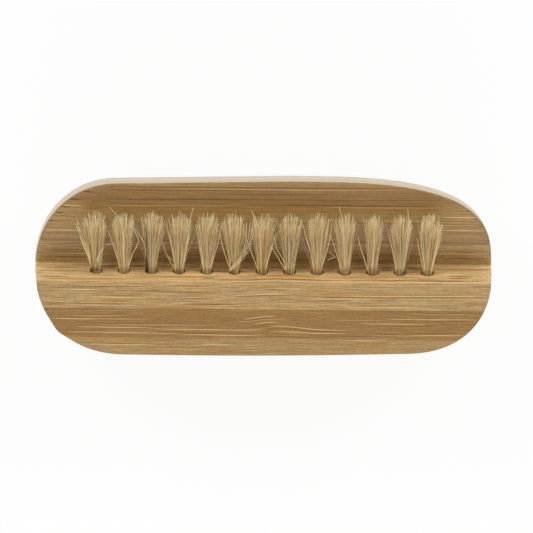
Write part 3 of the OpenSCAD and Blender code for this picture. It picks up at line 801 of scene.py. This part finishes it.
# Bristles that stray: the tuft, how pale it is, and its places beside the tuft's middle line and along it
STRAYS = (
    (1, 1, (0, 0), (0.15, 3.2), (0.8, 5.8), (2, 7.9), (3.5, 8.9)),
    (1, 0.95, (0, 0), (0.05, 3), (0.6, 5.6), (1.7, 7.6), (3.1, 8.4)),
    (1, 0.85, (-0.5, 0), (-1.6, 4.5), (-3.2, 9.5), (-4.7, 13.6)),
    (1, 0.80, (-0.6, 0), (-1.9, 5), (-3.5, 9.8), (-4.3, 14.4)),
    (1, 0.75, (-0.7, 0), (-1.7, 5.5), (-2.8, 9.5), (-3.9, 12.6)),
    (1, 0.05, (-0.9, -0.5), (-0.95, 2), (-1.1, 4.5)),
    (1, 0.05, (0.2, -0.5), (0.15, 1.8), (0.05, 3.4)),
    (1, 0.1, (-0.4, -0.5), (-0.5, 1.6), (-0.4, 3.2)),
    (2, 1, (0.1, 0), (-0.2, 8), (-0.6, 13.8), (-3.3, 17.5)),
    (2, 0.9, (0.7, 0), (1.9, 6), (3.2, 9.5), (1.3, 13.3)),
    (2, 0.7, (-0.6, 0), (-2, 6.5), (-3.6, 12)),
    (3, 0.02, (-1.05, -0.7), (-1.15, 3.5), (-1.15, 7.1), (-1.4, 14.1)),
    (3, 0.02, (-0.9, -0.7), (-1, 3), (-1.05, 6.5), (-1.25, 13.2)),
    (3, 0.05, (-1.1, -0.7), (-1.25, 2.5), (-1.3, 5.5), (-1.5, 9)),
    (3, 0.08, (-0.8, 0), (-0.9, 3.5), (-1.5, 8), (-1.6, 12.6)),
    (3, 0.9, (-0.6, 0), (-1.2, 4.5), (-1.7, 8.9), (-3.9, 12.4)),
    (4, 1, (0.5, 0), (1.5, 7), (2.2, 14.2), (2.8, 17.4)),
    (4, 1, (-0.6, 0), (-1.5, 7), (-2.4, 11), (-2.9, 14.2)),
    (4, 0.6, (-0.4, 0), (-1.7, 3), (-3.3, 7), (-3.9, 9.5)),
    (4, 0.5, (-0.3, 0), (-1, 3.5), (-2.8, 5.5), (-3.6, 8.8)),
    (5, 1, (0.6, 0), (1.5, 5), (2.4, 9.5), (3, 14)),
    (5, 0.7, (-0.5, 0), (-1.3, 6), (-2.6, 13.5)),
    (6, 1, (-1.25, 0), (-0.9, 2), (0.9, 4), (2.9, 7.6), (3.95, 15)),
    (6, 1, (-1.2, 0), (-0.7, 2.1), (1, 4.3), (3.1, 8.2), (4, 11.5)),
    (6, 1, (-1.2, 0), (-0.6, 1.8), (1.2, 3.9), (2.6, 8.4), (3.3, 14.2)),
    (6, 1, (-1.1, 0), (-0.5, 1.7), (0.9, 3.3), (2.4, 5.4), (3.7, 9)),
    (6, 1, (-1.1, 0), (-0.8, 1.8), (0.7, 3.8), (2.4, 6.6), (3.4, 9.4)),
    (6, 0.95, (-1, 0), (-0.6, 2.3), (1.1, 4.8), (2.3, 9), (2.5, 14)),
    (6, 0.8, (-0.6, 0), (-1.8, 4.5), (-2.8, 8.5), (-3.4, 12)),
    (7, 1, (-0.1, 0), (-0.4, 7), (-1, 13.1), (-2.6, 17)),
    (7, 0.8, (-0.6, 0), (-2, 5), (-3.2, 9), (-4.4, 12.5)),
    (7, 0.85, (0.5, 0), (1.6, 6), (2.9, 11.5)),
    (8, 0.7, (-0.5, 0), (-1.8, 3.2), (-3.2, 6.2), (-4.2, 8.2)),
    (8, 0.75, (-0.6, 0), (-1.5, 4.5), (-2.9, 7.2), (-3.4, 10.5)),
    (9, 0.9, (-0.6, 0), (-1.4, 5.5), (-2.5, 10), (-3.4, 13.8)),
    (9, 0.8, (0.5, 0), (1.7, 5.5), (2.6, 10.5), (3, 14)),
    (10, 1, (0, 0), (-0.3, 7), (-0.7, 14.1), (-1.6, 18)),
    (10, 0.85, (-0.6, 0), (-1.9, 6), (-3.5, 11.5)),
    (10, 0.9, (-3.9, 4.4), (-3.1, 4.9), (-2.2, 5.2), (-2.9, 6), (-3.6, 6.7)),
    (11, 0.9, (0, 0), (0.1, 8), (0.15, 16.4)),
    (11, 0.75, (-0.7, 0), (-1.7, 4), (-2.9, 8.5), (-3.4, 11)),
    (12, 0.95, (0.4, 0), (1.1, 7), (1.5, 13.3), (1.3, 17.7)),
    (12, 0.1, (0.8, 0), (1.2, 3), (1.55, 5.6), (1.7, 8)),
    (12, 0.35, (0.7, 0), (1.6, 5), (2.4, 10), (2.9, 12.5)),
    (12, 0.8, (-0.7, 0), (-1.6, 6), (-2.8, 11.5)),
    (13, 1, (0.7, 0), (1.2, 4), (2.2, 9), (3, 13.8)),
    (13, 1, (0.6, 0), (1.1, 4.5), (2, 9.5), (2.7, 14.2)),
    (13, 1, (-0.5, 0), (-0.9, 4), (-1.6, 8.5), (-1.7, 13.8)),
    (13, 0.8, (-0.6, 0), (-1.6, 5), (-2.6, 10.5)),
)
# A stray lies in front of its tuft and bows forward by a share for each millimetre, and if long comes back
STRAY_FRONT = -1.4 * MM
STRAY_BOW, STRAY_RETURN = 0.08, 18
STRAY_RADIUS = 0.095 * MM
STRAY_TIP = 0.04 * MM


def stock_bristle():
    """One straight bristle from 0 to 1 along Z, in rings, as points and faces: all others are bent copies."""
    bpy.ops.mesh.primitive_cylinder_add(vertices=BRISTLE_SIDES, radius=1, depth=1, location=(0, 0, 0.5))
    stock = bpy.context.object
    bpy.ops.object.transform_apply()
    with editing(stock, "DESELECT"):
        bpy.ops.mesh.select_mode(type="EDGE")
    for edge in stock.data.edges:
        ends = [stock.data.vertices[i].co.z for i in edge.vertices]
        edge.select = abs(ends[0] - ends[1]) > 0.5
    bpy.ops.object.mode_set(mode="EDIT")
    bpy.ops.mesh.subdivide(number_cuts=BRISTLE_RINGS - 2)
    bpy.ops.object.mode_set(mode="OBJECT")
    points = np.array([tuple(v.co) for v in stock.data.vertices])
    faces = [tuple(face.vertices) for face in stock.data.polygons]
    bpy.data.objects.remove(stock)
    return points, faces


STOCK_POINTS, STOCK_FACES = stock_bristle()


def smooth_path(stations, ways):
    """Places at the given shares along a smooth path through the stations (way, x, y, z)."""
    stations = np.array(stations, float)
    out = np.empty((len(ways), 3))
    slopes = np.gradient(stations[:, 1:], stations[:, 0], axis=0)
    for k, way in enumerate(ways):
        i = int(np.clip(np.searchsorted(stations[:, 0], way) - 1, 0, len(stations) - 2))
        step = stations[i + 1, 0] - stations[i, 0]
        t = min(max((way - stations[i, 0]) / step, 0), 1)
        out[k] = (
            (2 * t**3 - 3 * t**2 + 1) * stations[i, 1:] + (t**3 - 2 * t**2 + t) * step * slopes[i]
            + (3 * t**2 - 2 * t**3) * stations[i + 1, 1:] + (t**3 - t**2) * step * slopes[i + 1]
        )
    return out


# A bristle is a stock one with a radius that shrinks by this power of the way along it. Each is turned about
# itself by chance. All chance in this script comes from these dice, so each run gives the same brush
BRISTLE_TAPER = 1.5
ROLL_RANGE = 0, 1.5
dice = random.Random(13)


def bristle(hole, stations, tint, root_radius, tip_radius):
    """One bristle along its stations, in the frame of its hole: its points, and the tint at each."""
    ways = STOCK_POINTS[:, 2]
    radius = root_radius + (tip_radius - root_radius) * ways**BRISTLE_TAPER
    roll = dice.uniform(*ROLL_RANGE)
    cos, sin = math.cos(roll), math.sin(roll)
    offset = np.stack([
        (STOCK_POINTS[:, 0] * cos - STOCK_POINTS[:, 1] * sin) * radius,
        (STOCK_POINTS[:, 0] * sin + STOCK_POINTS[:, 1] * cos) * radius,
        np.zeros(len(ways)),
    ], axis=1)
    turn, shift = np.array(hole.to_3x3()), np.array(hole.translation)
    return (smooth_path(stations, ways) + offset) @ turn.T + shift, np.full(len(ways), tint)


def bristle_piece(node, lock):
    """A mesh of a lock of bristles in a node's place, with the tint of each and the way from root to tip."""
    points, tints = zip(*lock)
    count = len(STOCK_POINTS)
    faces = [tuple(i * count + v for v in face) for i in range(len(points)) for face in STOCK_FACES]
    mesh = bpy.data.meshes.new(node + "_bristles")
    mesh.from_pydata(np.concatenate(points).tolist(), [], faces)
    ways = np.tile(STOCK_POINTS[:, 2], len(points))
    for attribute, values in (("tint", np.concatenate(tints)), ("way", ways)):
        mesh.attributes.new(attribute, "FLOAT", "POINT").data.foreach_set("value", values)
    mesh.polygons.foreach_set("use_smooth", [True] * len(mesh.polygons))
    mesh.materials.append(bristle_finish)
    piece = bpy.data.objects.new(mesh.name, mesh)
    scene.collection.objects.link(piece)
    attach(piece, "root")
    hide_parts(node)


# Each place on a disc lies this much further round than the one before it, as seeds do in a sunflower
GOLDEN_TURN = math.radians(137.508)


def on_disc(k, count, turn):
    """Where place k of count lies on a disc of radius 1 that they fill evenly."""
    share, angle = math.sqrt((k + 0.5) / count), k * GOLDEN_TURN + turn
    return share * math.cos(angle), share * math.sin(angle)


def in_hole(u, v, neck, root, mouth):
    """The stations of a bristle at its root and at the mouth of its hole, which lies at this share of it."""
    return [(0, u * neck, v * neck, -root), (mouth, u * neck, v * neck, 0)]


# Blond, honey and brown bristles: up to which chance a bristle is of the kind, and how pale it then is
TINTS = ((0.78, 0.6, 1.0), (0.97, 0.36, 0.6), (1.0, 0.16, 0.36))


def random_tint():
    """How pale a bristle is: most are blond, some are honey, and few are brown."""
    kind = dice.random()
    low, high = next((low, high) for chance, low, high in TINTS if kind < chance)
    return dice.uniform(low, high)


# Boar bristle is translucent horn, so light that enters a lock leaves it again all over, and it looks soft.
MOTTLE_SIZE, MOTTLE_DARK = 2.0 * MM, 0.9
# From this share of the way along a bristle to that one, painted shade brings it down to this much of its
# colour's brightness
TIP_SHADE_FROM, TIP_SHADE_TO, TIP_SHADE_BRIGHTNESS = 0.45, 0.9, 0.88
SCATTERING_DEPTH = 0.5 * MM


def boar_bristle():
    """Natural blond bristle, made a little darker towards its tip by painted shade."""
    material, tree = new_finish("boar_bristle")
    tint = add_node(tree, "Attribute", attribute_name="tint")
    way = add_node(tree, "Attribute", attribute_name="way")
    shades = add_node(tree, "ValToRGB", (tint.outputs["Fac"],), stops=[
        (0.0, "#231c16"), (0.18, "#76542c"), (0.4, "#cf9f55"), (0.62, "#fdcc82"), (1.0, "#ffe2a6"),
    ])
    spot = add_node(tree, "TexCoord").outputs["Object"]
    mottle = add_node(tree, "TexNoise", {"Vector": spot, "Scale": 1 / MOTTLE_SIZE, "Detail": 1.0})
    light = add_node(tree, "MapRange", (mottle, NOISE_LOW, NOISE_HIGH, MOTTLE_DARK, 1.0))
    # painted shade: the tips are darkened so that they don't look brighter than the body of the tuft
    tip_shade = add_node(tree, "MapRange", (way.outputs["Fac"], TIP_SHADE_FROM, TIP_SHADE_TO, 1.0, TIP_SHADE_BRIGHTNESS))
    light = add_node(tree, "Math", (light, tip_shade), operation="MULTIPLY")
    horn = add_node(tree, "BsdfPrincipled", {
        "Base Color": add_node(tree, "VectorMath", {0: shades, "Scale": light}, operation="SCALE"),
        "Roughness": 0.42,
        "IOR": 1.54,
        "Specular IOR Level": 0.35,
        "Subsurface Weight": 0.8,
        "Subsurface Radius": (1.0, 0.8, 0.5),
        "Subsurface Scale": SCATTERING_DEPTH,
    })
    add_node(tree, "OutputMaterial", {"Surface": horn})
    return material


bristle_finish = boar_bristle()
for i in range(GROOVE_TUFTS):
    hole, lock = groove_mouth(i), []
    lean, tuft_fan = GROOVE_LEAN[i] * MM, GROOVE_FAN * GROOVE_FANS[i]
    clumps = [(*on_disc(k, GROOVE_CLUMPS, i), dice.uniform(*CLUMP_RANGE)) for k in range(GROOVE_CLUMPS)]
    for k in range(GROOVE_BRISTLES):
        u, v = on_disc(k, GROOVE_BRISTLES, dice.uniform(*TURN_RANGE))
        clump_u, clump_v, clump_length = min(clumps, key=lambda clump: math.dist(clump[:2], (u, v)))
        pull, fan, loose = dice.uniform(*PULL_RANGE), tuft_fan * dice.uniform(*FAN_RANGE), 1.0
        if dice.random() < LOOSE_BRISTLES:
            pull, loose = 0.0, dice.uniform(*LOOSE_RANGE)
        tip_u = (u + pull * (clump_u - u)) * fan * loose + lean + dice.gauss(0, WANDER)
        tip_v = (v + pull * (clump_v - v)) * fan * GROOVE_FLATNESS + dice.gauss(0, WANDER)
        length = GROOVE_LENGTH + clump_length - dice.random() ** 3 * SHORTEST - RIM * (u**2 + v**2)
        mouth = GROOVE_ROOT / (GROOVE_ROOT + length)
        middle = (
            start + GROOVE_FLARE * (tip - start) + dice.gauss(0, WANDER)
            for start, tip in ((u * GROOVE_NECK, tip_u), (v * GROOVE_NECK, tip_v))
        )
        stations = in_hole(u, v, GROOVE_NECK, GROOVE_ROOT, mouth)
        stations += [((mouth + 1) / 2, *middle, length / 2), (1, tip_u, tip_v, length)]
        lock.append(bristle(hole, stations, random_tint(), BRISTLE_RADIUS, BRISTLE_TIP))
    for k in range(CORE_STRANDS):
        u, v = (CORE_SPREAD * start for start in on_disc(k, CORE_STRANDS, i))
        length = CORE_LENGTH * GROOVE_LENGTH * dice.uniform(*CORE_RANGE)
        stations = in_hole(u, v, GROOVE_NECK, GROOVE_ROOT, CORE_MOUTH)
        stations.append((1, CORE_FLARE * (u * tuft_fan + lean), CORE_FLARE * v * GROOVE_FAN, length))
        lock.append(bristle(hole, stations, dice.uniform(*CORE_TINTS), CORE_RADIUS, BRISTLE_TIP))
    for tint, *places in (stray[1:] for stray in STRAYS if stray[0] == i + 1):
        stations = []
        for k, (beside, along) in enumerate(places):
            forward = (1 + min(along, 1)) / 2 + STRAY_BOW * min(along, STRAY_RETURN - along)
            stations.append((k / (len(places) - 1), beside * MM, STRAY_FRONT * forward, along * MM))
        lock.append(bristle(hole, stations, tint, STRAY_RADIUS, STRAY_TIP))
    bristle_piece(f"groove_tuft_{i + 1}", lock)

# The lower tufts are made the same way from the same bristle, but shorter and stiffer. They are trimmed
# level, because the brush stands on them.
LOWER_BRISTLES = 46
LOWER_LENGTH = BLOCK_LOW
LOWER_ROOT = 5.0 * MM
LOWER_NECK = 1.12 * MM
LOWER_FAN = 2.3 * MM
LOWER_RADIUS = 0.11 * MM
LOWER_TIP = 0.08 * MM
LOWER_WANDER = 0.18 * MM
LOWER_UNEVENNESS = 0.25 * MM
for row in range(len(LOWER_ROWS)):
    lock = []
    for hole in (hole @ Matrix.Rotation(math.pi, 4, "X") for hole in lower_holes(row)):
        for k in range(LOWER_BRISTLES):
            u, v = on_disc(k, LOWER_BRISTLES, dice.uniform(*TURN_RANGE))
            length = LOWER_LENGTH - dice.random() * LOWER_UNEVENNESS
            tip_u, tip_v = (start * LOWER_FAN + dice.gauss(0, LOWER_WANDER) for start in (u, v))
            stations = in_hole(u, v, LOWER_NECK, LOWER_ROOT, LOWER_ROOT / (LOWER_ROOT + length))
            stations.append((1, tip_u, tip_v, length))
            lock.append(bristle(hole, stations, random_tint(), LOWER_RADIUS, LOWER_TIP))
    bristle_piece(f"base_tuft_row_{row + 1}", lock)


# The anchors are short lengths of flat drawn steel wire. Each is driven across the bottom of its hole, where
# it holds the fold of its tuft. The die it was drawn through leaves fine bright lines along it.
DIE_LINE_LENGTH, DIE_LINE_WIDTH = 10 / 3 * MM, 1 / 12 * MM


def drawn_wire():
    """Bright flat steel wire with the fine lines of its drawing die."""
    material, tree = new_finish("drawn_steel_wire")
    spot = add_node(tree, "TexCoord").outputs["Object"]
    scale = (1 / DIE_LINE_LENGTH, 1 / DIE_LINE_WIDTH, 1 / DIE_LINE_WIDTH)
    stretched = add_node(tree, "Mapping", {"Vector": spot, "Scale": scale})
    lines = add_node(tree, "TexNoise", {"Vector": stretched, "Scale": 1.0, "Detail": 3.0})
    steel = add_node(tree, "BsdfPrincipled", {
        "Base Color": add_node(tree, "ValToRGB", (lines,), stops=[(0.35, "#a29f97"), (0.65, "#c8c5bd")]),
        "Metallic": 1.0,
        "Roughness": add_node(tree, "MapRange", (lines, NOISE_LOW, NOISE_HIGH, 0.25, 0.45)),
    })
    add_node(tree, "OutputMaterial", {"Surface": steel})
    return material


wire_finish = drawn_wire()
for name in ["groove_anchors"] + [f"base_anchor_row_{row + 1}" for row in range(len(LOWER_ROWS))]:
    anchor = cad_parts[name]
    anchor.data.materials.clear()
    anchor.data.materials.append(wire_finish)
